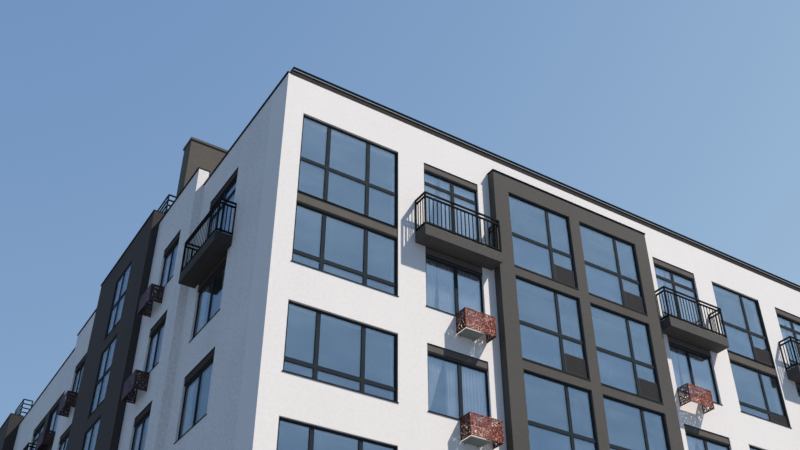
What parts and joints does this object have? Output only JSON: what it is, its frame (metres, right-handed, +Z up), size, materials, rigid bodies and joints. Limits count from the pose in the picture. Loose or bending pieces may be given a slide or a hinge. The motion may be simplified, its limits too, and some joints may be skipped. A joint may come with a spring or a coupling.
{
  "type": "corner apartment block",
  "caption": "Corner apartment block in white and dark brown render with dark window grids, railed balconies and pierced red equipment baskets.",
  "frame": {"origin": "street corner of the outer walls at ground level, on the plinth's underside", "axes": "+X along the long street front, +Y along the side street, +Z up"},
  "size_m": [35.95, 35.55, 24.8],
  "materials": {
    "white_render": "white textured render",
    "brown_render": "grey-brown textured render",
    "plinth": "grey stone cladding",
    "concrete": "bare concrete",
    "roofing": "mineral roofing felt",
    "coping": "folded dark sheet metal",
    "frames": "dark coated window sections",
    "glazing": "clear double glazing",
    "panels": "dark coated panels",
    "railings": "dark painted steel",
    "baskets": "red painted pierced sheet",
    "door": "dark painted steel"
  },
  "bodies": {
    "root": {"plinth_front_wing": "plinth", "plinth_side_wing": "plinth", "bay_feet": "plinth", "floors_front_wing": "concrete", "floors_side_wing": "concrete", "roof_front_wing": "roofing", "roof_side_wing": "roofing", "front_wall_corner": "white_render", "front_bay_1": "brown_render", "front_wall_middle": "white_render", "front_bay_2": "brown_render", "front_wall_end": "white_render", "front_parapet": "white_render", "side_wall_corner": "white_render", "side_wall_steps": "white_render", "stair_bays": "brown_render", "side_wall_field": "white_render", "side_wall_band": "brown_render", "end_walls": "white_render", "court_wall_front_wing": "white_render", "court_wall_side_wing": "white_render", "front_coping": "coping", "side_coping": "coping", "court_coping": "coping", "front_window_frames": "frames", "side_window_frames": "frames", "court_window_frames": "frames", "front_window_glass": "glazing", "side_window_glass": "glazing", "court_window_glass": "glazing", "dark_panels": "panels", "louvre_panels": "panels", "window_sills": "coping", "balcony_slabs": "brown_render", "balcony_rails": "railings", "balcony_uprights": "railings", "basket_fronts": "baskets", "basket_sides": "baskets", "stair_head_walls": "brown_render", "stair_head_roofs": "roofing", "vent_stack": "brown_render", "guard_rails": "railings", "entrance_doors": "door", "entrance_steps": "concrete"}
  },
  "joints": []
}
